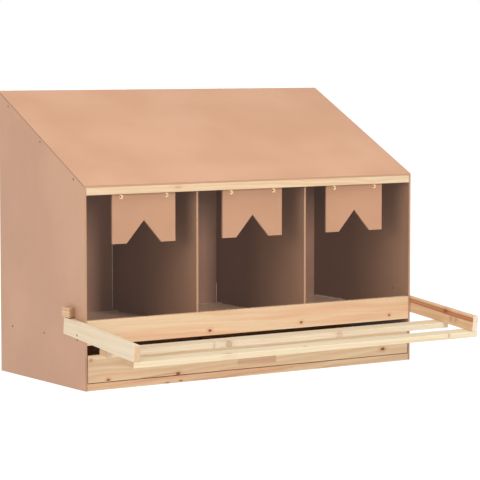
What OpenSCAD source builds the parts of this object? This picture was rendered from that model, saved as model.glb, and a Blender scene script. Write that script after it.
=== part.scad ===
// Laying nest for poultry: three open-fronted nests side by side in one cabinet of thin panels,
// with pine front boards, a fold-up perch frame and a pull-out tray under the nest floor.
// Origin: on the ground, under the middle of the whole object with its perch lowered.
// +X is to the right, -Y to the front and +Z up.

/* [Cabinet] */
// Width over the two side panels
box_w = 900; // [860:10:960]
// Depth from the front boards' faces to the back panel's outer face
box_d = 390; // [380:5:420]
// Height of the roof's front edge
front_h = 449.5; // [440:0.5:470]
// Height of the roof's back edge
back_h = 650; // [620:5:680]
// Thickness of the side, back, floor and dividing panels and of the flags
panel_t = 5; // [4:0.5:6]
// Thickness of the roof panel
roof_t = 4; // [3:0.5:6]
// Thickness of the pine boards and of the square battens
board_t = 15; // [14:0.5:16]

/* [Front boards] */
// Height of the narrow rail under the roof's front edge
rail_h = 17; // [15:1:18]
// Height of the sill board
sill_h = 54; // [50:1:56]
// Height above ground of the sill board's lower edge
sill_z = 100; // [98:0.5:101]
// Height above ground of the nest floor's top face
floor_z = 122; // [120:1:126]

/* [Flags] */
// Width of one hanging flag
flag_w = 164; // [140:2:180]
// Height above ground of a flag's lower edge
flag_z = 317.5; // [300:2.5:330]
// Width of the notch in a flag's lower edge
notch_w = 90; // [60:5:110]
// Height of the notch
notch_h = 50.5; // [40:0.5:60]
// Distance from one flag's centre line to the next
flag_pitch = 291; // [286:1:296]
// How far the row of flags sits right of the cabinet's middle
flag_shift = 1.5; // [-3:0.5:3]
// Distance between the two screws of a flag
flag_screw_pitch = 117.5; // [100:2.5:130]

/* [Perch] */
// Height above ground of the pivot screws
pivot_z = 124; // [122:0.5:126]
// Height of the pivot screws above an arm's lower edge
pivot_rise = 8; // [8:0.5:10]
// How far the lowered perch leans down towards its front, in degrees
perch_tilt = 5.8; // [5:0.1:6]
// Length of a perch arm
arm_len = 300; // [280:5:310]
// Height of a perch arm
arm_h = 36; // [34:1:38]
// Length of arm behind the pivot
arm_rear = 60; // [55:1:65]
// Width of a perch slat
slat_w = 36; // [32:1:40]
// Thickness of a perch slat
slat_t = 13; // [12:0.5:13]
// Distance from the pivot to the middle of the inner slat
inner_slat_reach = 116.5; // [100:0.5:130]

/* [Tray] */
// Height of the strip and runners that the tray stands on
base_h = 15.5; // [15:0.5:16]
// Height of the tray's front board
tray_front_h = 60; // [55:1:60]
// Depth of the tray behind its front board
tray_d = 335; // [280:5:340]
// Height of the tray's side and back boards
tray_side_h = 40; // [30:2:60]
// Thickness of the tray's side and back boards
tray_side_t = 10; // [8:1:12]

/* [Hidden] */
$fn = 32;

// The lowered perch reaches this far out of the front, and the origin is midway from there to the back
arm_front = arm_len - arm_rear;
perch_reach = arm_front * cos(perch_tilt) + (arm_h - pivot_rise) * sin(perch_tilt) - board_t / 2;
front_y = (perch_reach - box_d) / 2;
back_y = front_y + box_d;
inner_x = box_w / 2 - panel_t;
board_y = front_y + board_t;
back_in_y = back_y - panel_t;

// The roof slopes down to the front; its lower face is a straight line from front to back
roof_slope = (back_h - front_h) / box_d;
roof_angle = atan(roof_slope);
roof_rise = roof_t / cos(roof_angle);
function roof_under(y) = front_h - roof_rise + (y - front_y) * roof_slope;

// Three equal nests between the side panels
nest_w = (2 * inner_x - 2 * panel_t) / 3;
divider_x = nest_w / 2 + panel_t / 2;
divider_tabs = [[130, 290], [400, 520]];
tab_fit = 0.2;

batten_rise = board_t / cos(roof_angle);
batten_x = inner_x - board_t;
floor_under = floor_z - panel_t;
batten_z = floor_under - board_t;
top_batten_h = 25;
top_batten_y = back_in_y - board_t;
top_batten_z = roof_under(top_batten_y) - top_batten_h;

// A cleat behind the rail clamps each flag's top edge and takes the flag's two screws
rail_z = roof_under(front_y) - rail_h;
flag_top = rail_z + 12;
flag_screw_z = rail_z - 7;
cleat_w = 130;
cleat_z = rail_z - 15;
cleat_screw_z = rail_z + 5;

// Wood screws are [length, shank diameter, head diameter]
panel_screw = [18, 3, 5.5];
flag_screw = [14, 3.5, 6];
cleat_screw = [30, 3.5, 6.5];
slat_screw = [33, 4, 7.5];
block_screw = [16, 3.5, 6.5];
screw_fit = 0.05;
side_screw_pitch = 149;
roof_screw_y = front_y + 48;
floor_screw_y = front_y + 35;
back_screw_x = [-380, -250, 250, 380];
back_screw_z = [base_h / 2, batten_z + board_t / 2, top_batten_z + top_batten_h / 2];
flag_sink = 2;
flag_ring_d = 9.5;

// Pivot: a round-headed screw through arm, washer and side panel into the sill's end grain
pivot_y = front_y + board_t / 2;
arm_gap = 1.5;
run_gap = 0.3;
washer_t = arm_gap - run_gap;
washer_d = 16;
pivot_d = 4;
pivot_bore_d = 4.1;
pivot_head_d = 5.6;
pivot_head_t = 2.4;
pivot_pocket_d = 6.6;
pivot_pocket = 3;
pivot_len = 50;
arm_out_x = box_w / 2 + arm_gap + board_t;
outer_slat_reach = arm_front - slat_w / 2;
slat_reaches = [inner_slat_reach, outer_slat_reach];
slat_screw_spread = 9;

// The stop block sits just above the raised rear corner of the lowered arm
block_l = 33;
block_h = 22;
block_y = front_y + 43.5;
block_z = pivot_z + arm_rear * sin(perch_tilt) + (arm_h - pivot_rise) * cos(perch_tilt) + run_gap;

tray_gap = 1.5;
tray_x = inner_x - tray_gap;
tray_floor_z = base_h + run_gap;
tray_front_z = base_h + tray_gap;
base_strip_d = 35;
runner_w = 20;
runner_y = front_y + base_strip_d;

pine = "#EBCDA3";
pale_pine = "#EBDCBC";
brown = "#D0A27F";
dark_brown = "#8C6A54";
steel = "#4A443E";
zinc = "#B8B4AA";

// ---- Helpers ----

// Draws its children for the left side, or mirrored for the right
module on_side(side) {
    if (side == "right") mirror([1, 0, 0]) children();
    else children();
}

// Extrudes an outline drawn in Y and Z along X
module along_x(x, length) {
    translate([x, 0, 0]) rotate([90, 0, 90]) linear_extrude(length) children();
}

// Countersunk wood screw along +Z with its flat head at z = 0; grow widens it into its own hole
module screw(size, grow = 0) {
    shank_r = size[1] / 2 + grow;
    head_r = size[2] / 2 + grow;
    head_h = (size[2] - size[1]) / 2;
    tip_h = size[1];
    rotate_extrude() polygon([
        [0, 0], [head_r, 0], [shank_r, head_h], [shank_r, size[0] - tip_h], [0, size[0]]
    ]);
}

module side_screw_places() {
    for (i = [0:2]) {
        y = roof_screw_y + i * side_screw_pitch;
        translate([-box_w / 2, y, roof_under(y) - batten_rise / 2]) rotate([0, 90, 0]) children();
        translate([-box_w / 2, floor_screw_y + i * side_screw_pitch, batten_z + board_t / 2])
            rotate([0, 90, 0]) children();
    }
}

module back_screw_places() {
    for (x = back_screw_x, z = back_screw_z)
        translate([x, back_y, z]) rotate([90, 0, 0]) children();
}

module block_screw_place() {
    translate([-inner_x, block_y + block_l / 2, block_z + block_h / 2]) rotate([0, -90, 0]) children();
}

module pivot_bore() {
    translate([-arm_out_x, pivot_y, pivot_z]) rotate([0, 90, 0])
        cylinder(d = pivot_bore_d, h = pivot_pocket + pivot_len + 1);
}

// i is -1, 0 or 1 for the left, middle or right flag
module flag_places() {
    for (i = [-1:1]) translate([flag_shift + i * flag_pitch, 0, 0]) children();
}

module flag_screw_pair(y) {
    for (s = [-1, 1])
        translate([s * flag_screw_pitch / 2, y, flag_screw_z]) rotate([-90, 0, 0]) children();
}

module cleat_screw_pair() {
    for (s = [-1, 1])
        translate([s * cleat_w / 4, board_y + panel_t + board_t, cleat_screw_z]) rotate([90, 0, 0]) children();
}

// The perch's own frame: origin on the pivot line, -Y along the arms towards the front
module perch_frame() {
    translate([0, pivot_y, pivot_z]) rotate([perch_tilt, 0, 0]) children();
}

module slat_screw_places() {
    for (x = [-1, 1], reach = slat_reaches, s = [-1, 1])
        translate([x * (arm_out_x - board_t / 2), s * slat_screw_spread - reach, -pivot_rise - slat_t])
            children();
}

// ---- Cabinet panels ----

module side_panel(side) {
    color(brown) on_side(side) difference() {
        along_x(-box_w / 2, panel_t) polygon([
            [front_y, 0], [back_y, 0], [back_y, roof_under(back_y)], [front_y, roof_under(front_y)]
        ]);
        side_screw_places() screw(panel_screw, screw_fit);
        block_screw_place() screw(block_screw, screw_fit);
        pivot_bore();
    }
}

module divider_panel(side) {
    color(dark_brown) on_side(side) {
        along_x(-divider_x - panel_t / 2, panel_t) polygon(concat(
            [[board_y, floor_z], [back_in_y, floor_z]],
            [for (tab = divider_tabs) each [
                [back_in_y, tab[0]], [back_y, tab[0]], [back_y, tab[1]], [back_in_y, tab[1]]
            ]],
            [
                [back_in_y, top_batten_z], [top_batten_y, top_batten_z],
                [top_batten_y, roof_under(top_batten_y)], [board_y, roof_under(board_y)]
            ]
        ));
    }
}

module back_panel() {
    color(dark_brown) difference() {
        along_x(-inner_x, 2 * inner_x) polygon([
            [back_in_y, 0], [back_y, 0], [back_y, roof_under(back_y)], [back_in_y, roof_under(back_in_y)]
        ]);
        for (side = [-1, 1], tab = divider_tabs)
            translate([side * divider_x - panel_t / 2 - tab_fit, back_in_y - 1, tab[0] - tab_fit])
                cube([panel_t + 2 * tab_fit, panel_t + 2, tab[1] - tab[0] + 2 * tab_fit]);
        back_screw_places() screw(panel_screw, screw_fit);
    }
}

module roof_panel() {
    color("#DDAF8F") along_x(-box_w / 2, box_w) polygon([
        [front_y, front_h - roof_rise], [back_y, back_h - roof_rise], [back_y, back_h], [front_y, front_h]
    ]);
}

module nest_floor() {
    color(dark_brown) translate([-inner_x, board_y, floor_under])
        cube([2 * inner_x, back_in_y - board_y, panel_t]);
}

// ---- Pine front boards ----

module top_rail() {
    color(pine) difference() {
        translate([-inner_x, front_y, rail_z]) cube([2 * inner_x, board_t, rail_h]);
        flag_places() cleat_screw_pair() screw(cleat_screw, screw_fit);
    }
}

module sill_board() {
    color(pine) difference() {
        translate([-inner_x, front_y, sill_z]) cube([2 * inner_x, board_t, sill_h]);
        for (side = ["left", "right"]) on_side(side) pivot_bore();
    }
}

module base_strip() {
    color(pine) translate([-inner_x, front_y, 0]) cube([2 * inner_x, base_strip_d, base_h]);
}

// ---- Battens, joists and runners ----

module roof_batten(side) {
    color(pine) on_side(side) difference() {
        along_x(-inner_x, board_t) polygon([
            [board_y, roof_under(board_y)], [back_in_y, roof_under(back_in_y)],
            [back_in_y, roof_under(back_in_y) - batten_rise], [board_y, roof_under(board_y) - batten_rise]
        ]);
        side_screw_places() screw(panel_screw, screw_fit);
    }
}

module back_top_batten() {
    color(pine) difference() {
        along_x(-batten_x, 2 * batten_x) polygon([
            [top_batten_y, top_batten_z], [back_in_y, top_batten_z],
            [back_in_y, roof_under(back_in_y)], [top_batten_y, roof_under(top_batten_y)]
        ]);
        back_screw_places() screw(panel_screw, screw_fit);
    }
}

module floor_batten(side) {
    color(pine) on_side(side) difference() {
        translate([-inner_x, board_y, batten_z]) cube([board_t, back_in_y - board_y, board_t]);
        side_screw_places() screw(panel_screw, screw_fit);
    }
}

module back_floor_batten() {
    color(pine) difference() {
        translate([-batten_x, top_batten_y, batten_z]) cube([2 * batten_x, board_t, board_t]);
        back_screw_places() screw(panel_screw, screw_fit);
    }
}

module floor_joist(side) {
    color(pine) on_side(side) translate([-divider_x - board_t / 2, board_y, batten_z])
        cube([board_t, top_batten_y - board_y, board_t]);
}

module tray_runner(side) {
    color(pine) on_side(side) translate([-inner_x, runner_y, 0])
        cube([runner_w, top_batten_y - runner_y, base_h]);
}

module back_base_batten() {
    color(pine) difference() {
        translate([-inner_x, top_batten_y, 0]) cube([2 * inner_x, board_t, base_h]);
        back_screw_places() screw(panel_screw, screw_fit);
    }
}

// ---- Flags that darken the nests ----

module flag(i) {
    color(brown) translate([flag_shift + i * flag_pitch, 0, 0]) difference() {
        translate([0, board_y + panel_t, 0]) rotate([90, 0, 0]) linear_extrude(panel_t) polygon([
            [-flag_w / 2, flag_z], [-notch_w / 2, flag_z], [0, flag_z + notch_h], [notch_w / 2, flag_z],
            [flag_w / 2, flag_z], [flag_w / 2, flag_top], [-flag_w / 2, flag_top]
        ]);
        // A wide countersink that leaves a ring of raw wood around the sunk screw head
        flag_screw_pair(board_y) rotate_extrude() polygon([
            [0, 0], [flag_ring_d / 2, 0], [flag_screw[2] / 2 + screw_fit, flag_sink], [0, flag_sink]
        ]);
        flag_screw_pair(board_y + flag_sink) screw(flag_screw, screw_fit);
        cleat_screw_pair() screw(cleat_screw, screw_fit);
    }
}

module flag_cleat(i) {
    color(pine) translate([flag_shift + i * flag_pitch, 0, 0]) difference() {
        translate([-cleat_w / 2, board_y + panel_t, cleat_z]) cube([cleat_w, board_t, flag_top - cleat_z]);
        flag_screw_pair(board_y + flag_sink) screw(flag_screw, screw_fit);
        cleat_screw_pair() screw(cleat_screw, screw_fit);
    }
}

// ---- Fasteners ----

module flag_screws() {
    color(steel) flag_places() flag_screw_pair(board_y + flag_sink) screw(flag_screw);
}

module cleat_screws() {
    color(zinc) flag_places() cleat_screw_pair() screw(cleat_screw);
}

module side_screws(side) {
    color(zinc) on_side(side) side_screw_places() screw(panel_screw);
}

module back_panel_screws() {
    color(zinc) back_screw_places() screw(panel_screw);
}

module stop_block_screws() {
    color(zinc) for (side = ["left", "right"]) on_side(side) block_screw_place() screw(block_screw);
}

// ---- Perch pivots and stops ----

module stop_block(side) {
    color(pale_pine) on_side(side) difference() {
        translate([-box_w / 2 - board_t, block_y, block_z]) cube([board_t, block_l, block_h]);
        block_screw_place() screw(block_screw, screw_fit);
    }
}

module pivot_screw(side) {
    head_x = -arm_out_x + pivot_pocket - run_gap;
    tip_h = pivot_d;
    color(steel) on_side(side) translate([head_x, pivot_y, pivot_z]) rotate([0, 90, 0])
        rotate_extrude() polygon([
            [0, -pivot_head_t], [pivot_head_d / 2, -pivot_head_t], [pivot_head_d / 2, 0], [pivot_d / 2, 0],
            [pivot_d / 2, pivot_len - tip_h], [0, pivot_len]
        ]);
}

module pivot_washer(side) {
    color(zinc) on_side(side) translate([-box_w / 2 - washer_t, pivot_y, pivot_z]) rotate([0, 90, 0])
        difference() {
            cylinder(d = washer_d, h = washer_t);
            translate([0, 0, -1]) cylinder(d = pivot_bore_d, h = washer_t + 2);
        }
}

// ---- Perch ----

module perch_arm(side) {
    color(pale_pine) on_side(side) difference() {
        perch_frame() difference() {
            translate([-arm_out_x, -arm_front, -pivot_rise]) cube([board_t, arm_len, arm_h]);
            slat_screw_places() screw(slat_screw, screw_fit);
        }
        translate([-arm_out_x - 1, pivot_y, pivot_z]) rotate([0, 90, 0]) {
            cylinder(d = pivot_bore_d, h = board_t + 2);
            cylinder(d = pivot_pocket_d, h = pivot_pocket + 1);
        }
    }
}

module perch_slat(reach) {
    color(pale_pine) perch_frame() difference() {
        translate([-arm_out_x, -reach - slat_w / 2, -pivot_rise - slat_t]) cube([2 * arm_out_x, slat_w, slat_t]);
        slat_screw_places() screw(slat_screw, screw_fit);
    }
}

module perch_slat_screws() {
    color(zinc) perch_frame() slat_screw_places() screw(slat_screw);
}

// ---- Tray ----

module tray_front() {
    color(pine) translate([-tray_x, front_y, tray_front_z]) cube([2 * tray_x, board_t, tray_front_h]);
}

module tray_bottom() {
    color(dark_brown) translate([-tray_x, board_y, tray_floor_z]) cube([2 * tray_x, tray_d, panel_t]);
}

module tray_side(side) {
    color(pine) on_side(side) translate([-tray_x, board_y, tray_floor_z + panel_t])
        cube([tray_side_t, tray_d, tray_side_h]);
}

module tray_back() {
    color(pine) translate([-tray_x + tray_side_t, board_y + tray_d - tray_side_t, tray_floor_z + panel_t])
        cube([2 * (tray_x - tray_side_t), tray_side_t, tray_side_h]);
}

side_panel("left");  // left_side_panel
side_panel("right");  // right_side_panel
divider_panel("left");  // left_divider
divider_panel("right");  // right_divider
back_panel();
roof_panel();
nest_floor();
top_rail();
sill_board();
base_strip();
roof_batten("left");  // left_roof_batten
roof_batten("right");  // right_roof_batten
back_top_batten();
floor_batten("left");  // left_floor_batten
floor_batten("right");  // right_floor_batten
back_floor_batten();
floor_joist("left");  // left_floor_joist
floor_joist("right");  // right_floor_joist
tray_runner("left");  // left_tray_runner
tray_runner("right");  // right_tray_runner
back_base_batten();
flag(-1);  // left_flag
flag(0);  // middle_flag
flag(1);  // right_flag
flag_cleat(-1);  // left_flag_cleat
flag_cleat(0);  // middle_flag_cleat
flag_cleat(1);  // right_flag_cleat
flag_screws();
cleat_screws();
side_screws("left");  // left_side_screws
side_screws("right");  // right_side_screws
back_panel_screws();
stop_block("left");  // left_stop_block
stop_block("right");  // right_stop_block
stop_block_screws();
pivot_screw("left");  // left_pivot_screw
pivot_screw("right");  // right_pivot_screw
pivot_washer("left");  // left_pivot_washer
pivot_washer("right");  // right_pivot_washer
perch_arm("left");  // left_perch_arm
perch_arm("right");  // right_perch_arm
perch_slat(inner_slat_reach);  // inner_perch_slat
perch_slat(outer_slat_reach);  // outer_perch_slat
perch_slat_screws();
tray_front();
tray_bottom();
tray_side("left");  // tray_left_side
tray_side("right");  // tray_right_side
tray_back();
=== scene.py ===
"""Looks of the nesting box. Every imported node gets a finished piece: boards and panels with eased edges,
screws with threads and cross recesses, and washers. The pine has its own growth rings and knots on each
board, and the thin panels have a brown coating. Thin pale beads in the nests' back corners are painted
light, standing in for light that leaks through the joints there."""

import math

import bmesh
import bpy
from mathutils import Matrix, Vector


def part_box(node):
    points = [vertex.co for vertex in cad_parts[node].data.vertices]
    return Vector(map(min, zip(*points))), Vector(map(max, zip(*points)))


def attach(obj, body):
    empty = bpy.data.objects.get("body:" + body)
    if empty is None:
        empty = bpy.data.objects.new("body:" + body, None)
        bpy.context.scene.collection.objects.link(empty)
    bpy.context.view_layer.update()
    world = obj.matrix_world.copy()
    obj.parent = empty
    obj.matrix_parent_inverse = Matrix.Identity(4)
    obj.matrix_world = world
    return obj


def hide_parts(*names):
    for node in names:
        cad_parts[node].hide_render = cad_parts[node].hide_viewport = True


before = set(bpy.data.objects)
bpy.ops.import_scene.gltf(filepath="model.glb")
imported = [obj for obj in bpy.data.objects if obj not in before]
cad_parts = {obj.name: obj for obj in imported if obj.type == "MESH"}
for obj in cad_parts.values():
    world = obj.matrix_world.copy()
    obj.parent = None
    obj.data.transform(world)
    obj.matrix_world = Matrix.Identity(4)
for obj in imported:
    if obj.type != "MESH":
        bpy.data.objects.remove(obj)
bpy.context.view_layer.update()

MM = 0.001
# Main sizes in mm, as in the CAD model
BACK_HEIGHT, FRONT_HEIGHT, CABINET_DEPTH = 650, 449.5, 390
ROOF_SLOPE = math.atan((BACK_HEIGHT - FRONT_HEIGHT) / CABINET_DEPTH)
PERCH_TILT = math.radians(5.8)


# ---- Colours and material nodes ----

ALBEDO = 0.66
WHITE = (1, 1, 1, 1)


def tone(red, green, blue, level=ALBEDO):
    """The albedo that looks like this sRGB colour, 0 to 255, under the studio light."""
    return tuple(level * (c / 255) ** 2.2 for c in (red, green, blue)) + (1.0,)


class Net:
    """One material, with short calls that add its nodes. A value is a number, a tuple or an output
    socket."""

    def __init__(self, name):
        self.material = bpy.data.materials.new(name)
        self.material.use_nodes = True
        self.tree = self.material.node_tree
        self.tree.nodes.clear()
        out = self.tree.nodes.new("ShaderNodeOutputMaterial")
        self.shader = self.tree.nodes.new("ShaderNodeBsdfPrincipled")
        self.tree.links.new(self.shader.outputs[0], out.inputs[0])

    def put(self, socket, value):
        """Links an output to the socket, or sets the socket's own value."""
        if isinstance(value, bpy.types.NodeSocket):
            self.tree.links.new(value, socket)
        elif value is not None:
            socket.default_value = value

    def math(self, operation, a, b=None):
        node = self.tree.nodes.new("ShaderNodeMath")
        node.operation = operation
        self.put(node.inputs[0], a)
        self.put(node.inputs[1], b)
        return node.outputs[0]

    def add(self, a, b):
        return self.math("ADD", a, b)

    def sub(self, a, b):
        return self.math("SUBTRACT", a, b)

    def mul(self, a, b):
        return self.math("MULTIPLY", a, b)

    def div(self, a, b):
        return self.math("DIVIDE", a, b)

    def length(self, a, b):
        """Length of the vector whose parts are a and b."""
        return self.math("SQRT", self.add(self.mul(a, a), self.mul(b, b)))

    def smooth(self, value, low, high, start=0.0, end=1.0):
        """Goes softly from start to end as value goes from low to high."""
        node = self.tree.nodes.new("ShaderNodeMapRange")
        node.interpolation_type = "SMOOTHSTEP"
        for socket, v in zip(node.inputs, (value, low, high, start, end)):
            self.put(socket, v)
        return node.outputs[0]

    def mix(self, factor, a, b):
        node = self.tree.nodes.new("ShaderNodeMix")
        node.data_type = "RGBA"
        for socket, v in ((0, factor), (6, a), (7, b)):
            self.put(node.inputs[socket], v)
        return node.outputs[2]

    def within(self, value, middle, half, soft):
        """1 where value is within half of middle and 0 outside, with an edge that is soft wide each way."""
        off = self.math("ABSOLUTE", self.sub(value, middle))
        return self.smooth(off, half - soft, half + soft, 1.0, 0.0)

    def shade(self, colour, gain):
        """The colour times a number that varies over the surface."""
        node = self.tree.nodes.new("ShaderNodeVectorMath")
        node.operation = "SCALE"
        self.put(node.inputs[0], colour)
        self.put(node.inputs["Scale"], gain)
        return node.outputs[0]

    def place(self, x, y, z):
        node = self.tree.nodes.new("ShaderNodeCombineXYZ")
        for socket, v in zip(node.inputs, (x, y, z)):
            self.put(socket, v)
        return node.outputs[0]

    def noise(self, vector, detail=2.0, rough=0.5):
        node = self.tree.nodes.new("ShaderNodeTexNoise")
        self.put(node.inputs["Vector"], vector)
        self.put(node.inputs["Scale"], 1.0)
        self.put(node.inputs["Detail"], detail)
        self.put(node.inputs["Roughness"], rough)
        return node.outputs["Fac"]

    def cloud(self, xyz, sizes, seed, detail=2.0, rough=0.5):
        """Noise whose lumps are about sizes long, in the units of xyz."""
        scaled = [self.add(self.div(c, s), seed * k) for c, s, k in zip(xyz, sizes, (1.0, 1.7, 2.3))]
        return self.noise(self.place(*scaled), detail, rough)

    def local_mm(self):
        """The piece's own x, y and z in millimetres."""
        coords = self.tree.nodes.new("ShaderNodeTexCoord")
        split = self.tree.nodes.new("ShaderNodeSeparateXYZ")
        self.put(split.inputs[0], coords.outputs["Object"])
        return [self.mul(out, 1000.0) for out in split.outputs]

    def end_share(self):
        """1 on faces across the grain, which is the piece's own x, and 0 on the others."""
        coords = self.tree.nodes.new("ShaderNodeTexCoord")
        split = self.tree.nodes.new("ShaderNodeSeparateXYZ")
        self.put(split.inputs[0], coords.outputs["Normal"])
        return self.smooth(self.math("ABSOLUTE", split.outputs[0]), 0.55, 0.9)

    def bump(self, height, strength, distance_mm):
        node = self.tree.nodes.new("ShaderNodeBump")
        self.put(node.inputs["Height"], height)
        self.put(node.inputs["Strength"], strength)
        self.put(node.inputs["Distance"], distance_mm * MM)
        self.put(self.shader.inputs["Normal"], node.outputs[0])

    def finish(self, colour, roughness, **others):
        """Sets the shader's inputs, whose names have _ for a space, and returns the material."""
        self.put(self.shader.inputs["Base Color"], colour)
        self.put(self.shader.inputs["Roughness"], roughness)
        for name, value in others.items():
            self.put(self.shader.inputs[name.replace("_", " ")], value)
        return self.material


# ---- Pine ----

KNOT_HALO, KNOT_HEART, KNOT_RIM = tone(214, 150, 104), tone(140, 88, 56), tone(80, 50, 34)
RESIN, SPLICE, END_GRAIN = tone(190, 108, 62), tone(204, 150, 116), tone(214, 168, 124)


def bend_round_knots(net, x, y, z, knots):
    """y and z pulled aside near each knot, so that the rings bend round it."""
    bent_y, bent_z = y, z
    for kx, kz, half_l, half_h, _ in knots:
        dx, dz = net.sub(x, kx), net.sub(z, kz)
        near = net.length(net.div(dx, half_l * 4.0), net.div(dz, half_h * 2.8))
        pull = net.smooth(near, 0.0, 1.0, 0.85, 0.0)
        bent_z = net.sub(bent_z, net.mul(dz, pull))
        bent_y = net.add(bent_y, net.mul(pull, half_h * 0.5))
    return bent_y, bent_z


def paint_knot(net, colour, height, grain, depth, knot, knot_y):
    """Adds a knot with a reddish halo and a dark rim. Returns the new colour and height."""
    kx, kz, half_l, half_h, dark = knot
    x, _, z = grain
    ragged = net.mul(net.sub(net.cloud(grain, (5, 30, 5), kx, 2.0), 0.5), 0.9)
    reach = net.length(net.div(net.sub(x, kx), half_l), net.div(net.sub(z, kz), half_h))
    if knot_y:
        middle, half_depth = knot_y
        reach = net.length(reach, net.div(net.sub(depth, middle), half_depth))
    out = net.add(reach, ragged)
    halo = net.smooth(out, 0.8, 3.4, 0.55 * dark, 0.0)
    core = net.smooth(out, 0.8, 1.1, 1.0, 0.0)
    rim = net.mul(net.smooth(out, 0.55, 0.9), core)
    rings = net.smooth(net.math("FRACT", net.mul(out, 2.6)), 0.1, 0.9, 1.12, 0.86)
    heart = net.shade(net.mix(rim, KNOT_HEART, KNOT_RIM), rings)
    colour = net.mix(net.mul(core, dark), net.mix(halo, colour, KNOT_HALO), heart)
    return colour, net.add(height, net.mul(core, 0.5))


def paint_streak(net, colour, x, z, sway, streak):
    """Adds a dark resin streak that fades out at both ends."""
    x0, z0, x1, z1, half, dark = streak
    fade = 9
    middle = net.smooth(x, x0, x1, z0, z1)
    off = net.math("ABSOLUTE", net.add(net.sub(z, middle), sway))
    ends = net.mul(net.smooth(x, x0 - fade, x0 + fade), net.smooth(x, x1 - fade, x1 + fade, 1.0, 0.0))
    near = net.mul(net.smooth(off, half * 0.4, half * 1.5, dark, 0.0), ends)
    return net.mix(near, colour, RESIN)


def pine(name, seed, pale, late, blush, pith=(50, 10), pitch=6.0, taper=0.02, knots=(), strength=0.5,
         blush_share=0.5, splice=None, streaks=(), knot_y=None, end=END_GRAIN, lean=0.0):
    """Pine board. Its x is along the grain, y through the thickness and z across the face, from its middle.
    pale is the early wood, late the dark side of each ring and blush the colour of its broad bands.
    pith is where the tree's centre lies in y and z, pitch the ring spacing in mm, and taper how far the
    centre moves in y for each mm of x. Each knot is (x, z, half length, half height, darkness), and
    knot_y, where given, is its middle and half depth. Each dark streak is (x and z of its start, x and z
    of its end, half width, darkness). splice is (x, z, half length, half height) of a darker joined piece,
    end the colour of the sawn ends, and lean the angle by which the grain falls from x."""
    net = Net(name)
    x, y, z = net.local_mm()
    if lean:
        c, s = math.cos(lean), math.sin(lean)
        x, z = net.sub(net.mul(x, c), net.mul(z, s)), net.add(net.mul(x, s), net.mul(z, c))
    plain_y, plain_z = y, z
    y, z = bend_round_knots(net, x, y, z, knots)
    slow = net.sub(net.cloud((x, y, z), (330, 90, 90), seed), 0.5)
    quick = net.sub(net.cloud((x, y, z), (85, 26, 26), seed + 3.1), 0.5)
    across = net.add(net.sub(z, pith[1]), net.add(net.mul(slow, 26.0), net.mul(quick, 3.0)))
    through = net.add(net.sub(y, pith[0]), net.add(net.mul(x, taper), net.mul(quick, 5.0)))
    distance = net.length(across, through)
    uneven = net.noise(net.place(net.div(distance, pitch * 1.6), seed, 0.0), 1.0)
    turn = net.math("FRACT", net.add(net.div(distance, pitch), net.mul(uneven, 1.8)))
    ring = net.mul(net.smooth(turn, 0.25, 0.86), net.smooth(turn, 0.9, 1.0, 1.0, 0.0))
    vigour = net.noise(net.place(net.div(distance, pitch * 3.7), seed + 8.0, net.div(x, 600.0)), 1.0)
    ring_mix = net.mul(ring, net.smooth(vigour, 0.25, 0.75, strength * 0.35, strength * 1.35))

    band = net.cloud((x, distance, distance), (520, 16, 16), seed + 5.7)
    colour = net.mix(net.smooth(band, 0.38, 0.66, 0.0, blush_share), pale, blush)
    colour = net.mix(ring_mix, colour, late)

    grain = (x, y, plain_z)
    fibre = net.cloud(grain, (38, 0.8, 0.8), seed + 1.3, 3.0, 0.6)
    silk = net.cloud((x, y, z), (170, 5, 5), seed + 2.2, 3.0, 0.6)
    dash = net.smooth(net.cloud(grain, (9, 0.5, 0.5), seed + 6.6, 1.0), 0.66, 0.76)
    gain = net.add(net.mul(fibre, 0.16), net.add(net.mul(silk, 0.22), 0.81))
    colour = net.shade(colour, net.sub(gain, net.mul(dash, 0.13)))

    height = net.add(net.mul(ring, 0.6), net.mul(fibre, 0.8))
    for knot in knots:
        colour, height = paint_knot(net, colour, height, grain, plain_y, knot, knot_y)
    for streak in streaks:
        colour = paint_streak(net, colour, x, plain_z, net.mul(quick, 2.5), streak)
    if splice:
        sx, sz, half_l, half_h = splice
        inside = net.mul(net.within(x, sx, half_l, 1.5), net.within(plain_z, sz, half_h, 1.5))
        colour = net.mix(net.mul(inside, net.smooth(silk, 0.35, 0.65, 0.2, 0.75)), colour, SPLICE)

    pores = net.cloud(grain, (20, 0.9, 0.9), seed + 4.4, 2.0, 0.6)
    end_gain = net.add(net.mul(pores, 0.5), net.sub(0.78, net.mul(ring, 0.14)))
    colour = net.mix(net.mul(net.end_share(), 0.85), colour, net.shade(end[:3], end_gain))
    net.bump(height, 0.35, 0.12)
    return net.finish(colour, net.sub(0.66, net.mul(ring_mix, 0.14)), Specular_IOR_Level=0.35)


# ---- Coats, raw edges and metal ----

FIBRE_SHOW = 0.05
PLY_MM = 1.7


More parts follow.
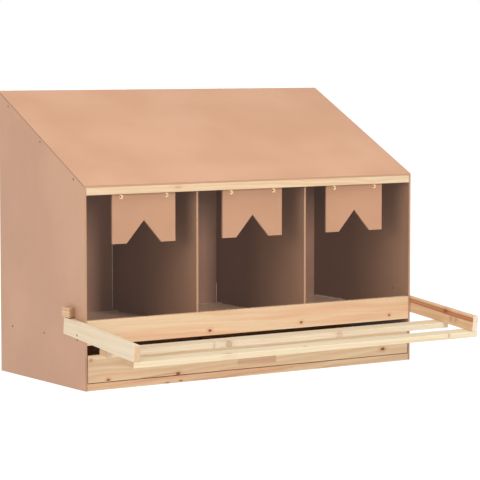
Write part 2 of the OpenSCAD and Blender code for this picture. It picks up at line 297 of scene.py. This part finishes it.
def coated(name, seed, base, warm, painted_glow=0.0, roughness=0.36):
    """Thin panel with a smooth brown coating that lets a little of the fibre below show. Its glow is painted
    light, a faint glow of the coating itself that lifts the shade deep in a nest, and roughness is the
    coating's lowest."""
    net = Net(name)
    xyz = net.local_mm()
    broad = net.cloud(xyz, (210, 210, 150), seed, 2.0)
    mottle = net.cloud(xyz, (26, 26, 14), seed + 1.9, 4.0, 0.6)
    fibre = net.cloud(xyz, (120, 3, 2.2), seed + 4.2, 3.0, 0.6)
    peel = net.cloud(xyz, (1.6, 1.6, 1.6), seed + 7.7, 2.0)
    colour = net.mix(net.smooth(broad, 0.32, 0.68), base, warm)
    gain = net.add(net.mul(mottle, 0.09), net.add(net.mul(fibre, FIBRE_SHOW), 0.95 - FIBRE_SHOW / 2))
    speck = net.smooth(net.cloud(xyz, (2.4, 2.4, 2.4), seed + 9.1, 1.0), 0.74, 0.8)
    colour = net.shade(colour, net.sub(gain, net.mul(speck, 0.14)))
    rub = net.smooth(net.cloud(xyz, (55, 30, 3.5), seed + 11.4, 3.0, 0.65), 0.62, 0.74)
    worn = net.add(net.mul(mottle, 0.16), net.add(net.mul(rub, 0.1), roughness))
    net.bump(net.add(net.mul(peel, 0.4), net.mul(fibre, 0.6)), 0.16, 0.1)
    # Painted light: the emission makes the coating glow faintly, though it is no lamp.
    return net.finish(colour, worn, Specular_IOR_Level=0.45, Emission_Color=WHITE,
                      Emission_Strength=painted_glow)


def raw_edge(name, seed, light, dark, lean=0.0):
    """Sawn edge of a coated panel: thin plies through the thickness, which is the piece's own y, leaning
    by lean mm for each mm of z."""
    net = Net(name)
    x, y, z = net.local_mm()
    y = net.add(y, net.mul(z, lean))
    wave = net.mul(net.sub(net.cloud((x, y, z), (60, 60, 60), seed), 0.5), 0.5)
    ply = net.math("FRACT", net.div(net.add(net.add(y, 20.0), wave), PLY_MM))
    line = net.mul(net.smooth(ply, 0.3, 0.5), net.smooth(ply, 0.6, 0.8, 1.0, 0.0))
    grit = net.cloud((x, y, z), (1.4, 0.7, 1.4), seed + 2.0, 3.0, 0.7)
    colour = net.mix(net.mul(line, 0.7), light, dark)
    colour = net.shade(colour, net.add(net.mul(grit, 0.4), 0.8))
    net.bump(net.add(grit, net.mul(line, -0.5)), 0.4, 0.15)
    return net.finish(colour, net.add(net.mul(grit, 0.2), 0.7), Specular_IOR_Level=0.25)


def metal(name, seed, colour, worn, roughness, metallic):
    """Steel or its coat, with cloudy patches of the worn colour."""
    net = Net(name)
    xyz = net.local_mm()
    cloud = net.cloud(xyz, (2.2, 2.2, 2.2), seed, 3.0, 0.6)
    fine = net.cloud(xyz, (0.35, 0.35, 0.35), seed + 4.0, 2.0)
    look = net.mix(net.smooth(cloud, 0.35, 0.7), colour, worn)
    net.bump(fine, 0.2, 0.03)
    rough = net.add(net.mul(cloud, 0.2), roughness)
    return net.finish(net.shade(look, net.add(net.mul(fine, 0.2), 0.9)), rough, Metallic=metallic)


# ---- Frames of the pieces: x along the grain, y through the thickness, z across the face ----

ACROSS = Matrix.Identity(3)
FORWARD = Matrix(((0, 1, 0), (-1, 0, 0), (0, 0, 1)))
FLAT = Matrix(((1, 0, 0), (0, 0, -1), (0, 1, 0)))
UPRIGHT = Matrix(((0, 1, 0), (0, 0, 1), (1, 0, 0)))
WELD = 0.001 * MM
SMOOTH_BELOW = math.radians(38)


def leaning(angle, base):
    """The frame base turned by angle about the cabinet's X axis."""
    return Matrix.Rotation(angle, 3, "X") @ base


def node_mesh(node):
    """The CAD node's own mesh as a bmesh, with its triangles joined up."""
    mesh = bmesh.new()
    mesh.from_mesh(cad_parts[node].data)
    bmesh.ops.remove_doubles(mesh, verts=mesh.verts, dist=WELD)
    return mesh


def cad_copy(node, turn):
    """A bmesh of the CAD node in a frame turned by turn at the middle of its box, and that frame."""
    low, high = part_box(node)
    place = Matrix.Translation((low + high) / 2) @ turn.to_4x4()
    mesh = node_mesh(node)
    mesh.transform(place.inverted())
    mesh.normal_update()
    return mesh, place


def linked(name, mesh):
    """A new object in the scene with the bmesh's shape. It frees the bmesh."""
    data = bpy.data.meshes.new(name)
    mesh.to_mesh(data)
    mesh.free()
    made = bpy.data.objects.new(name, data)
    bpy.context.scene.collection.objects.link(made)
    return made


def add_piece(name, mesh, place, body, materials, nodes):
    """Turns the bmesh into an object that rides on the body and stands for the nodes."""
    for face in mesh.faces:
        face.smooth = True
    piece = linked(name, mesh)
    piece.data.set_sharp_from_angle(angle=SMOOTH_BELOW)
    for material in materials:
        piece.data.materials.append(material)
    piece.matrix_world = place
    normals = piece.modifiers.new("even_light", "WEIGHTED_NORMAL")
    normals.keep_sharp = True
    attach(piece, body)
    if nodes:
        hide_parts(*nodes)


# ---- Eased edges ----

SHARP_FROM = math.radians(25)
SHORTEST_EASED = 3 * MM
AREA_KEPT = (0.93, 1.002)
VOLUME_CHANGE = 0.015


def merge_flat(mesh):
    """Joins neighbouring faces that lie in one plane."""
    flat = [e for e in mesh.edges if len(e.link_faces) == 2 and e.calc_face_angle() < math.radians(0.3)]
    bmesh.ops.dissolve_edges(mesh, edges=flat, use_verts=False, use_face_split=False)


def merge_limited(mesh):
    """Joins them and drops the vertices along straight edges too."""
    bmesh.ops.dissolve_limit(mesh, angle_limit=math.radians(0.5), verts=mesh.verts, edges=mesh.edges)


def skin(mesh):
    """Area and volume of the mesh as it will be drawn, in triangles."""
    drawn = mesh.copy()
    bmesh.ops.triangulate(drawn, faces=drawn.faces)
    found = sum(f.calc_area() for f in drawn.faces), drawn.calc_volume()
    drawn.free()
    return found


def bevelled(mesh, ease, segments):
    """A copy of the mesh with eased edges: the first of three ways to merge its flat faces that keeps
    its skin and volume whole. Where none does, the mesh itself."""
    area, volume = skin(mesh)
    for merge in (merge_flat, merge_limited, None):
        trial = mesh.copy()
        if merge:
            merge(trial)
        long_sharp = [
            e for e in trial.edges
            if len(e.link_faces) == 2 and e.calc_face_angle() > SHARP_FROM
            and e.calc_length() > SHORTEST_EASED
        ]
        bmesh.ops.bevel(trial, geom=long_sharp, offset=ease * MM, offset_type="OFFSET", segments=segments,
                        profile=0.5, affect="EDGES", clamp_overlap=False, material=-1)
        new_area, new_volume = skin(trial)
        least, most = (share * area for share in AREA_KEPT)
        if least < new_area < most and abs(new_volume / volume - 1) < VOLUME_CHANGE:
            break
        trial.free()
    else:
        return mesh
    mesh.free()
    return trial


def eased(node, turn, body, materials, ease, look_of=None, segments=3):
    """Adds the CAD node with edges eased by ease mm. look_of(normal) gives a face's material index."""
    mesh, place = cad_copy(node, turn)
    if look_of:
        for face in mesh.faces:
            face.material_index = look_of(face.normal)
    low, high = (Vector([pick(v.co[i] for v in mesh.verts) for i in range(3)]) for pick in (min, max))
    mesh = bevelled(mesh, ease, segments)
    for v in mesh.verts:
        v.co = Vector([min(max(v.co[i], low[i]), high[i]) for i in range(3)])
    add_piece(f"{node}_piece", mesh, place, body, materials, [node])


def edge_faces(normal):
    """0 for a panel's two broad faces and 1 for its sawn edges."""
    return 0 if abs(normal.y) > 0.7 else 1


# ---- Pine boards ----

def front_pine(name, seed, **extra):
    """The warm pine of the boards across the front."""
    look = dict(pale=tone(243, 214, 176), late=tone(222, 166, 122), blush=tone(240, 190, 152))
    look.update(extra)
    return pine(name, seed, **look)


def pale_pine(name, seed, **extra):
    """The paler pine of the rail and the perch."""
    look = dict(pale=tone(246, 228, 194), late=tone(228, 196, 150), blush=tone(243, 216, 176), strength=0.4)
    look.update(extra)
    return pine(name, seed, **look)


eased("top_rail", ACROSS, "cabinet", [
    pale_pine("rail_pine", 2.0, pith=(70, 40), pitch=5.5, taper=0.01,
              pale=tone(232, 206, 172), blush=tone(230, 194, 154), late=tone(216, 166, 116),
              knots=[(-210, 2, 9, 3, 0.25)]),
], 0.8)
eased("sill_board", ACROSS, "cabinet", [
    front_pine("sill_pine", 5.0, pith=(60, 44), pitch=9.0, taper=0.012, strength=0.38, blush_share=0.7,
               pale=tone(236, 203, 162), blush=tone(231, 174, 132), late=tone(220, 159, 114),
               knots=[(-125.5, -16, 4.5, 3.2, 1.0), (128.5, -14.5, 4.0, 3.0, 1.0),
                      (386.8, -14.5, 3.6, 2.8, 0.9), (-380, -15, 4.0, 3.0, 0.9)]),
], 0.9)
eased("base_strip", ACROSS, "cabinet", [
    front_pine("base_pine", 9.0, pith=(60, -30), pitch=6.0, strength=0.6, blush_share=0.9,
               pale=tone(232, 200, 160), blush=tone(228, 176, 136), late=tone(210, 152, 108),
               knots=[(-203.6, -4.1, 3.6, 1.7, 1.0), (-239, -5.9, 4.2, 1.4, 0.9)]),
], 0.7)
eased("tray_front", ACROSS, "tray", [
    front_pine("tray_front_pine", 13.0, pith=(38, -44), pitch=7.0, taper=0.03, strength=0.5,
               pale=tone(236, 208, 168), blush=tone(232, 182, 140),
               knots=[(-392, -26, 4.2, 2.8, 1.0), (-211, -26.5, 5.5, 3.2, 1.0), (368, -15, 6, 3.6, 1.0),
                      (-436, 20, 5, 4, 0.4), (-330, 12, 18, 8, 0.3)],
               splice=(3.5, -12, 53.5, 9.5), streaks=[(-305, -29, -220, -25, 1.5, 0.5)]),
], 0.9)

eased("left_perch_arm", leaning(PERCH_TILT, FORWARD), "perch", [
    pale_pine("left_arm_pine", 21.0, pith=(-60, 30), pitch=7.5, taper=0.03, strength=0.22,
              pale=tone(248, 228, 198), blush=tone(246, 220, 186), end=tone(222, 182, 140)),
], 0.9)
eased("right_perch_arm", leaning(PERCH_TILT, FORWARD), "perch", [
    pale_pine("right_arm_pine", 27.0, pith=(60, -44), pitch=8.5, taper=0.03, strength=0.35,
              pale=tone(243, 206, 162), late=tone(226, 166, 120), blush=tone(240, 190, 148), blush_share=0.8,
              knots=[(49, 11, 8, 4.5, 1.0), (70, -4, 4, 6, 0.3), (88, -3, 4, 6, 0.3)],
              end=tone(252, 232, 208),
              streaks=[(-170, 14, 175, 11.5, 1.8, 0.7), (-170, 8, 175, 5.5, 1.8, 0.85),
                       (-170, 11, 60, 9, 4.5, 0.4), (56, 9, 175, 8.5, 5.5, 0.6)]),
], 0.9)
eased("inner_perch_slat", leaning(PERCH_TILT, FLAT), "perch", [
    pale_pine("inner_slat_pine", 31.0, pith=(40, 50), pitch=6.5, taper=0.02,
              pale=tone(243, 224, 192), blush=tone(240, 208, 172), blush_share=0.8, knot_y=(-1, 9),
              knots=[(-157, 16, 9, 6, 0.35), (147, 17, 9, 7, 0.2), (-196, 17, 3, 2, 0.25)]),
], 0.9)
eased("outer_perch_slat", leaning(PERCH_TILT, FLAT), "perch", [
    pale_pine("outer_slat_pine", 37.0, pith=(-50, 36), pitch=7.0, taper=0.015, knot_y=(3, 7),
              knots=[(-225, 12, 10, 5, 0.3), (-21, 12, 3.5, 2, 0.7), (382, 17, 3, 2, 0.3)]),
], 0.9)
for number, side in enumerate(("left", "right")):
    eased(f"{side}_stop_block", FORWARD, "cabinet", [
        pale_pine(f"{side}_block_pine", 41.0 + number, pith=(14, 40), pitch=4.5, strength=0.8,
                  pale=tone(240, 200, 160), late=tone(214, 156, 112), blush=tone(232, 180, 138),
                  end=tone(186, 136, 104)),
    ], 0.9)

batten_looks = [
    front_pine(f"batten_pine_{i}", 50.0 + 4 * i, pith=(30 - 70 * (i % 2), 24), pitch=5.0 + i, taper=0.03,
               knots=[(-90 + 80 * i, 2, 5, 4, 0.8)])
    for i in range(3)
]
sloping_look = front_pine("roof_batten_pine", 62.0, pith=(-40, 24), pitch=6.0, taper=0.03, lean=ROOF_SLOPE)
for side in ("left", "right"):
    eased(f"{side}_roof_batten", FORWARD, "cabinet", [sloping_look], 0.8, segments=2)
battens = {
    "cabinet": {
        "back_top_batten": ACROSS, "back_floor_batten": ACROSS, "back_base_batten": ACROSS,
        "left_floor_batten": FORWARD, "right_floor_batten": FORWARD,
        "left_floor_joist": FORWARD, "right_floor_joist": FORWARD,
        "left_tray_runner": FORWARD, "right_tray_runner": FORWARD,
        "left_flag_cleat": ACROSS, "middle_flag_cleat": ACROSS, "right_flag_cleat": ACROSS,
    },
    "tray": {"tray_left_side": FORWARD, "tray_right_side": FORWARD, "tray_back": ACROSS},
}
for body, turns in battens.items():
    for number, (node, turn) in enumerate(turns.items()):
        eased(node, turn, body, [batten_looks[number % 3]], 0.8, segments=2)


# ---- Coated panels ----

BROWN, WARM = tone(207, 157, 126), tone(216, 166, 133)
ROOF_BROWN, ROOF_WARM = tone(214, 161, 126), tone(222, 170, 136)
FLAG_BROWN, FLAG_WARM = tone(193, 142, 109), tone(200, 149, 115)
# Painted shade: the faces inside the nests get a darker brown than the outside of the same panels.
SHADED_INNER_BROWN, SHADED_INNER_WARM = tone(162, 121, 95), tone(168, 127, 100)
BACK_BROWN, BACK_WARM = tone(196, 147, 119), tone(201, 152, 123)
# The nest floor has a paler, glossier coat than the walls; its paleness is partly painted light, for the
# light that falls on the nest floors.
FLOOR_PALE_AND_LIT, FLOOR_WARM_PALE_AND_LIT = tone(246, 206, 168, 0.82), tone(250, 212, 174, 0.82)
# Painted light: how strongly the coatings deep in the nests glow, to lift their shade.
PAINTED_GLOW = 0.018
PLY_LIGHT, PLY_DARK = tone(206, 160, 128), tone(150, 108, 80)
PANEL_EASE = 0.35
edge_look = raw_edge("panel_edge", 3.0, PLY_LIGHT, PLY_DARK)

inner_looks = {
    "left_divider": (UPRIGHT, coated("left_divider_coating", 67.0, SHADED_INNER_BROWN, SHADED_INNER_WARM, painted_glow=PAINTED_GLOW)),
    "right_divider": (UPRIGHT, coated("right_divider_coating", 70.0, SHADED_INNER_BROWN, SHADED_INNER_WARM, painted_glow=PAINTED_GLOW)),
    "back_panel": (ACROSS, coated("back_panel_coating", 73.0, BACK_BROWN, BACK_WARM, painted_glow=PAINTED_GLOW)),
    "nest_floor": (FLAT, coated("nest_floor_coating", 76.0, FLOOR_PALE_AND_LIT, FLOOR_WARM_PALE_AND_LIT, painted_glow=PAINTED_GLOW,
                                roughness=0.24)),
}
for node, (turn, look) in inner_looks.items():
    eased(node, turn, "cabinet", [look, edge_look], PANEL_EASE, edge_faces, 2)
# The side panels' faces towards the nests take this darker coat: painted shade.
shaded_wall_look = coated("shaded_wall_coating", 64.0, SHADED_INNER_BROWN, SHADED_INNER_WARM, painted_glow=PAINTED_GLOW)


def side_faces(inward):
    """Like edge_faces, but with 2 on the face towards the nests, which looks along inward times y."""
    return lambda normal: 2 if normal.y * inward > 0.7 else edge_faces(normal)


for number, (side, inward) in enumerate((("left", 1), ("right", -1))):
    coat = coated(f"{side}_side_panel_coating", 61.0 + 22 * number, BROWN, WARM)
    eased(f"{side}_side_panel", UPRIGHT, "cabinet", [coat, edge_look, shaded_wall_look],
          PANEL_EASE, side_faces(inward), 2)
eased("tray_bottom", FLAT, "tray", [coated("tray_bottom_coating", 79.0, BROWN, WARM), edge_look],
      PANEL_EASE, edge_faces, 2)
eased("roof_panel", FLAT, "cabinet", [
    coated("roof_coating", 82.0, ROOF_BROWN, ROOF_WARM),
    raw_edge("roof_edge", 6.0, PLY_LIGHT, PLY_DARK, math.tan(ROOF_SLOPE)),
], PANEL_EASE, edge_faces, 2)


def flag_faces(normal):
    """Like edge_faces, but with 2 in the countersinks, whose cones are the flag's only slanted faces."""
    return 2 if 0.2 < abs(normal.y) < 0.95 else edge_faces(normal)


ring_wood = pale_pine("countersink_wood", 88.0, pitch=3.0, strength=0.2, pale=tone(250, 226, 176, 0.9),
                      blush=tone(244, 214, 160, 0.85))
for number, side in enumerate(("left", "middle", "right")):
    coat = coated(f"{side}_flag_coating", 90.0 + 3 * number, FLAG_BROWN, FLAG_WARM)
    eased(f"{side}_flag", ACROSS, "cabinet", [coat, edge_look, ring_wood],
          PANEL_EASE, flag_faces, 2)


# ---- Screws and washers ----

THREAD_PITCH = 1.4 * MM
ROWS_PER_TURN = 6
TURN = 24
SQUARE_WAYS = [Vector(v) * s for v in ((1, 0, 0), (0, 1, 0), (0, 0, 1)) for s in (1, -1)]
PERCH_UP = Matrix.Rotation(PERCH_TILT, 3, "X") @ Vector((0, 0, 1))


def islands(mesh):
    """The places of the vertices of each loose part of the mesh."""
    seen = set()
    for start in mesh.verts:
        if start in seen:
            continue
        island, open_ends = [], [start]
        while open_ends:
            v = open_ends.pop()
            if v not in seen:
                seen.add(v)
                island.append(v.co.copy())
                open_ends += [e.other_vert(v) for e in v.link_edges]
        yield island


def screw_places(node):
    """For each screw in a CAD node: the place of its head's top, with -Z along the screw to its tip."""
    mesh = node_mesh(node)
    places = []
    for island in islands(mesh):
        middle = sum(island, Vector()) / len(island)
        tip = max(island, key=lambda p: (p - middle).length)
        way = max([*SQUARE_WAYS, PERCH_UP], key=(tip - middle).normalized().dot)
        length = max((tip - p).dot(way) for p in island)
        turn = Vector((0, 0, -1)).rotation_difference(way).to_matrix().to_4x4()
        places.append(Matrix.Translation(tip - way * length) @ turn)
    mesh.free()
    return places


def ring(mesh, radius, z):
    """A ring of TURN vertices. radius is a number or a function of the angle."""
    made = []
    for k in range(TURN):
        a = 2 * math.pi * k / TURN
        r = radius(a) if callable(radius) else radius
        made.append(mesh.verts.new((r * math.cos(a), r * math.sin(a), z)))
    return made


def join_rings(mesh, upper, lower):
    """A band of faces between two rings."""
    for k in range(TURN):
        n = (k + 1) % TURN
        mesh.faces.new((upper[k], lower[k], lower[n], upper[n]))


def cross_cutter(size, depth, top):
    """A tapered cross that reaches from just above top down to depth below it."""
    cutter = bmesh.new()
    outlines = []
    for z, reach, half in ((top + 0.4 * MM, size, 0.16 * size), (top - depth, 0.35 * size, 0.1 * size)):
        points = [(reach, half), (half, half), (half, reach)]
        corners = []
        for quarter in range(4):
            c, s = round(math.cos(quarter * math.pi / 2)), round(math.sin(quarter * math.pi / 2))
            corners += [cutter.verts.new((x * c - y * s, x * s + y * c, z)) for x, y in points]
        outlines.append(corners)
    upper, lower = outlines
    cutter.faces.new(upper)
    cutter.faces.new(lower[::-1])
    for k, corner in enumerate(upper):
        n = (k + 1) % len(upper)
        cutter.faces.new((corner, lower[k], lower[n], upper[n]))
    return cutter


def cut_cross(mesh, size, depth, top):
    """Cuts a cross recess into a closed bmesh and returns the result as mesh data."""
    screw, cross = linked("screw", mesh), linked("cross", cross_cutter(size, depth, top))
    cut = screw.modifiers.new("cross", "BOOLEAN")
    cut.operation = "DIFFERENCE"
    cut.solver = "EXACT"
    cut.object = cross
    result = bpy.data.meshes.new_from_object(screw.evaluated_get(bpy.context.evaluated_depsgraph_get()))
    for scrap in (screw, cross):
        bpy.data.objects.remove(scrap)
    return result


def screw_data(length, shank, head, rise=0.0):
    """A cross-head wood screw along -Z, in metres, with the top of its head at z = 0. The head is
    countersunk, or round and rise high."""
    mesh = bmesh.new()
    head_r, shank_r, core = head / 2, shank / 2, 0.36 * shank
    if rise:
        arc = [math.pi / 2 * k / 6 for k in range(2, 7)]
        profile = [(head_r * math.sin(a), rise * (math.cos(a) - 1) * 0.96) for a in arc]
        profile += [(head_r, -rise), (shank_r, -rise)]
    else:
        profile = [(head_r - 0.15 * MM, 0.0), (head_r, -0.12 * MM), (shank_r, shank_r - head_r)]
    flat_z, neck = profile[0][1], profile[-1][1]
    rings = [ring(mesh, r, z) for r, z in profile]
    mesh.faces.new(rings[0])
    start, end = neck - 0.25 * (length + neck), shank - length
    rings.append(ring(mesh, shank_r, start))
    rows = max(4, round((start - end) / THREAD_PITCH * ROWS_PER_TURN))
    for i in range(1, rows + 1):
        z = start + (end - start) * i / rows

        def threaded(a, z=z, fade=min(1.0, (rows - i) / ROWS_PER_TURN + 0.1)):
            """The thread's radius at angle a, which fades out towards the tip."""
            phase = (z / THREAD_PITCH + a / (2 * math.pi)) % 1.0
            crest = max(0.0, 1 - abs(phase - 0.5) / 0.28)
            return core + (shank_r - core) * crest * fade

        rings.append(ring(mesh, threaded, z))
    for upper, lower in zip(rings, rings[1:]):
        join_rings(mesh, upper, lower)
    tip = mesh.verts.new((0, 0, -length))
    for k in range(TURN):
        mesh.faces.new((rings[-1][k], tip, rings[-1][(k + 1) % TURN]))
    bmesh.ops.recalc_face_normals(mesh, faces=mesh.faces)
    return cut_cross(mesh, 0.31 * head, 0.26 * head, flat_z)


def screws(node, body, material, length, shank, head, rise=0.0):
    """Adds a screw, with sizes in mm, at each place in the CAD node, each turned by its own angle."""
    data = screw_data(length * MM, shank * MM, head * MM, rise * MM)
    mesh = bmesh.new()
    for number, place in enumerate(screw_places(node)):
        before = len(mesh.verts)
        mesh.from_mesh(data)
        mesh.verts.ensure_lookup_table()
        spin = Matrix.Rotation(1.1 * number + 0.4, 4, "Z")
        bmesh.ops.transform(mesh, matrix=place @ spin, verts=mesh.verts[before:])
    bpy.data.meshes.remove(data)
    add_piece(f"{node}_piece", mesh, Matrix.Identity(4), body, [material], [node])


dark_steel = metal("dark_steel", 3.0, (0.02, 0.014, 0.011, 1), (0.045, 0.03, 0.02, 1), 0.6, 0.0)
zinc_steel = metal("zinc_steel", 7.0, (0.46, 0.44, 0.4, 1), (0.3, 0.27, 0.22, 1), 0.34, 0.9)
bronze_steel = metal("bronze_steel", 9.0, (0.2, 0.12, 0.08, 1), (0.12, 0.07, 0.05, 1), 0.55, 0.2)
screws("flag_screws", "cabinet", dark_steel, length=14, shank=3.5, head=6)
screws("cleat_screws", "cabinet", zinc_steel, length=30, shank=3.5, head=6.5)
screws("back_panel_screws", "cabinet", zinc_steel, length=18, shank=3, head=5.5)
screws("stop_block_screws", "cabinet", zinc_steel, length=16, shank=3.5, head=6.5)
screws("perch_slat_screws", "perch", zinc_steel, length=33, shank=4, head=7.5)
for side in ("left", "right"):
    screws(f"{side}_side_screws", "cabinet", bronze_steel, length=18, shank=3, head=5.5)
    screws(f"{side}_pivot_screw", "cabinet", dark_steel, length=52.4, shank=4, head=5.6,
           rise=2.4)


def washer(node, hole, outer):
    """Adds a stamped washer along the X axis, with eased rims. hole and outer are its radii."""
    low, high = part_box(node)
    half, rim = (high.x - low.x) / 2, 0.25 * MM
    mesh = bmesh.new()
    profile = [
        (hole, half - rim), (hole + rim, half), (outer - rim, half), (outer, half - rim),
        (outer, rim - half), (outer - rim, -half), (hole + rim, -half), (hole, rim - half),
    ]
    rings = [ring(mesh, r, z) for r, z in profile]
    for k, upper in enumerate(rings):
        join_rings(mesh, upper, rings[(k + 1) % len(rings)])
    bmesh.ops.recalc_face_normals(mesh, faces=mesh.faces)
    place = Matrix.Translation((low + high) / 2) @ Matrix.Rotation(math.pi / 2, 4, "Y")
    add_piece(f"{node}_piece", mesh, place, "cabinet", [zinc_steel], [node])


for side in ("left", "right"):
    washer(f"{side}_pivot_washer", hole=2.05 * MM, outer=8 * MM)


# ---- Pale beads in the back corners of the nests: painted light where light leaks through the joints ----

def painted_leak_look():
    """Cream, brighter than any coat and a little shiny, with small lumps. It is painted light: a pale bead
    that stands in for light leaking through a corner joint.
    """
    net = Net("painted_light_leak")
    lumps = net.cloud(net.local_mm(), (7, 7, 7), 17.0, 3.0, 0.6)
    colour = net.mix(lumps, tone(236, 214, 190, 1.0), tone(255, 246, 230, 1.0))
    net.bump(lumps, 0.3, 0.3)
    return net.finish(colour, net.sub(0.5, net.mul(lumps, 0.2)), Specular_IOR_Level=0.5)


def painted_leak_bead(name, start, end, radius):
    """Adds a thin uneven bead from start to end, in mm, with narrow ends, as a painted line of leaking
    light.
    """
    start, end = Vector(start) * MM, Vector(end) * MM
    span = end - start
    steps = 40
    mesh = bmesh.new()
    rings = []
    for i in range(steps + 1):
        share = i / steps
        tip = min(1.0, 9 * share + 0.25, 9 * (1 - share) + 0.25)
        swell = 1 + 0.22 * math.sin(37 * share + start.z * 90) * math.sin(11 * share + 1.3)
        rings.append(ring(mesh, radius * MM * tip * swell, (share - 0.5) * span.length))
    for lower, upper in zip(rings, rings[1:]):
        join_rings(mesh, upper, lower)
    mesh.faces.new(rings[-1])
    mesh.faces.new(rings[0][::-1])
    bmesh.ops.recalc_face_normals(mesh, faces=mesh.faces)
    turn = Vector((0, 0, 1)).rotation_difference(span).to_matrix().to_4x4()
    add_piece(name, mesh, Matrix.Translation((start + end) / 2) @ turn, "cabinet", [painted_leak], [])


painted_leak = painted_leak_look()
STAND_OFF = 0.4
floor_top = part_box("nest_floor")[1].z / MM
back_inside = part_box("back_panel")[0].y / MM
# The wall on each nest's right, how far its floor bead runs and how high its corner bead goes, if any
nest_corners = (("left_divider", 26, 290), ("right_divider", 26, 172), ("right_side_panel", 128, None))
for number, (node, run, top) in enumerate(nest_corners):
    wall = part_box(node)[0].x / MM - STAND_OFF
    painted_leak_bead(f"leak_foot_{number}", (wall, back_inside - 0.6, floor_top + STAND_OFF),
              (wall, back_inside - run, floor_top + STAND_OFF), 1.5)
    if top:
        painted_leak_bead(f"leak_corner_{number}", (wall, back_inside - STAND_OFF, floor_top),
                  (wall, back_inside - STAND_OFF, top), 1.1)


# ---- Floor, light and camera ----

FLOOR_GLOW = 0.88
FLOOR_GREY = (0.2, 0.2, 0.2, 1)


def stage_floor():
    """A pale floor that glows a little near the box and fully far out, where it meets the white world."""
    mesh = bmesh.new()
    bmesh.ops.create_grid(mesh, x_segments=1, y_segments=1, size=60.0)
    floor = linked("floor", mesh)
    net = Net("floor_paint")
    x, y, _ = net.local_mm()
    glow = net.smooth(net.length(x, y), 1200.0, 5000.0, FLOOR_GLOW, 1.0)
    paint = net.finish(FLOOR_GREY, 0.9, Specular_IOR_Level=0.1, Emission_Color=WHITE,
                       Emission_Strength=glow)
    floor.data.materials.append(paint)
    floor.location.z = -0.5 * MM


def soft_light(name, place, target, size, watts):
    """A white rectangular lamp that faces the target. size is its width and height in metres."""
    data = bpy.data.lights.new(name, "AREA")
    data.shape = "RECTANGLE"
    data.size, data.size_y = size
    data.energy = watts
    lamp = bpy.data.objects.new(name, data)
    lamp.location = place
    lamp.rotation_euler = (Vector(target) - Vector(place)).to_track_quat("-Z", "Y").to_euler()
    bpy.context.scene.collection.objects.link(lamp)


def studio_world(seen, given):
    """A white surround that the camera sees at strength seen and that lights the scene at strength given."""
    world = bpy.data.worlds.new("studio")
    world.use_nodes = True
    tree = world.node_tree
    background = tree.nodes["Background"]
    background.inputs["Color"].default_value = WHITE
    rays = tree.nodes.new("ShaderNodeLightPath")
    strength = tree.nodes.new("ShaderNodeMapRange")
    strength.inputs["To Min"].default_value = given
    strength.inputs["To Max"].default_value = seen
    tree.links.new(rays.outputs["Is Camera Ray"], strength.inputs["Value"])
    tree.links.new(strength.outputs[0], background.inputs["Strength"])
    bpy.context.scene.world = world


def add_camera(place, down, turn, lens):
    """A camera that looks down degrees below level and turned from +Y to +X by turn degrees."""
    data = bpy.data.cameras.new("camera")
    data.sensor_width = 36
    data.lens = lens
    data.clip_end = 200
    camera = bpy.data.objects.new("camera", data)
    camera.location = place
    camera.rotation_euler = (math.radians(90 - down), 0, math.radians(-turn))
    bpy.context.scene.collection.objects.link(camera)
    bpy.context.scene.camera = camera


stage_floor()
studio_world(seen=1.0, given=0.5)
soft_light("side_box", (-4.0, -1.5, 1.25), (-0.3, 0, 0.35), (2.6, 1.6), 90)
soft_light("front_box", (0.23, -2.8, 1.12), (0.1, 0.1, 0.3), (0.35, 0.8), 38)
soft_light("top_box", (0, -1.5, 4.0), (0, 0, 0.4), (3.0, 3.0), 114)
bpy.context.scene.view_settings.view_transform = "Standard"
add_camera(place=(-2.803, -4.159, 0.7274), down=4.812, turn=34.066, lens=163.16)

bpy.context.view_layer.update()
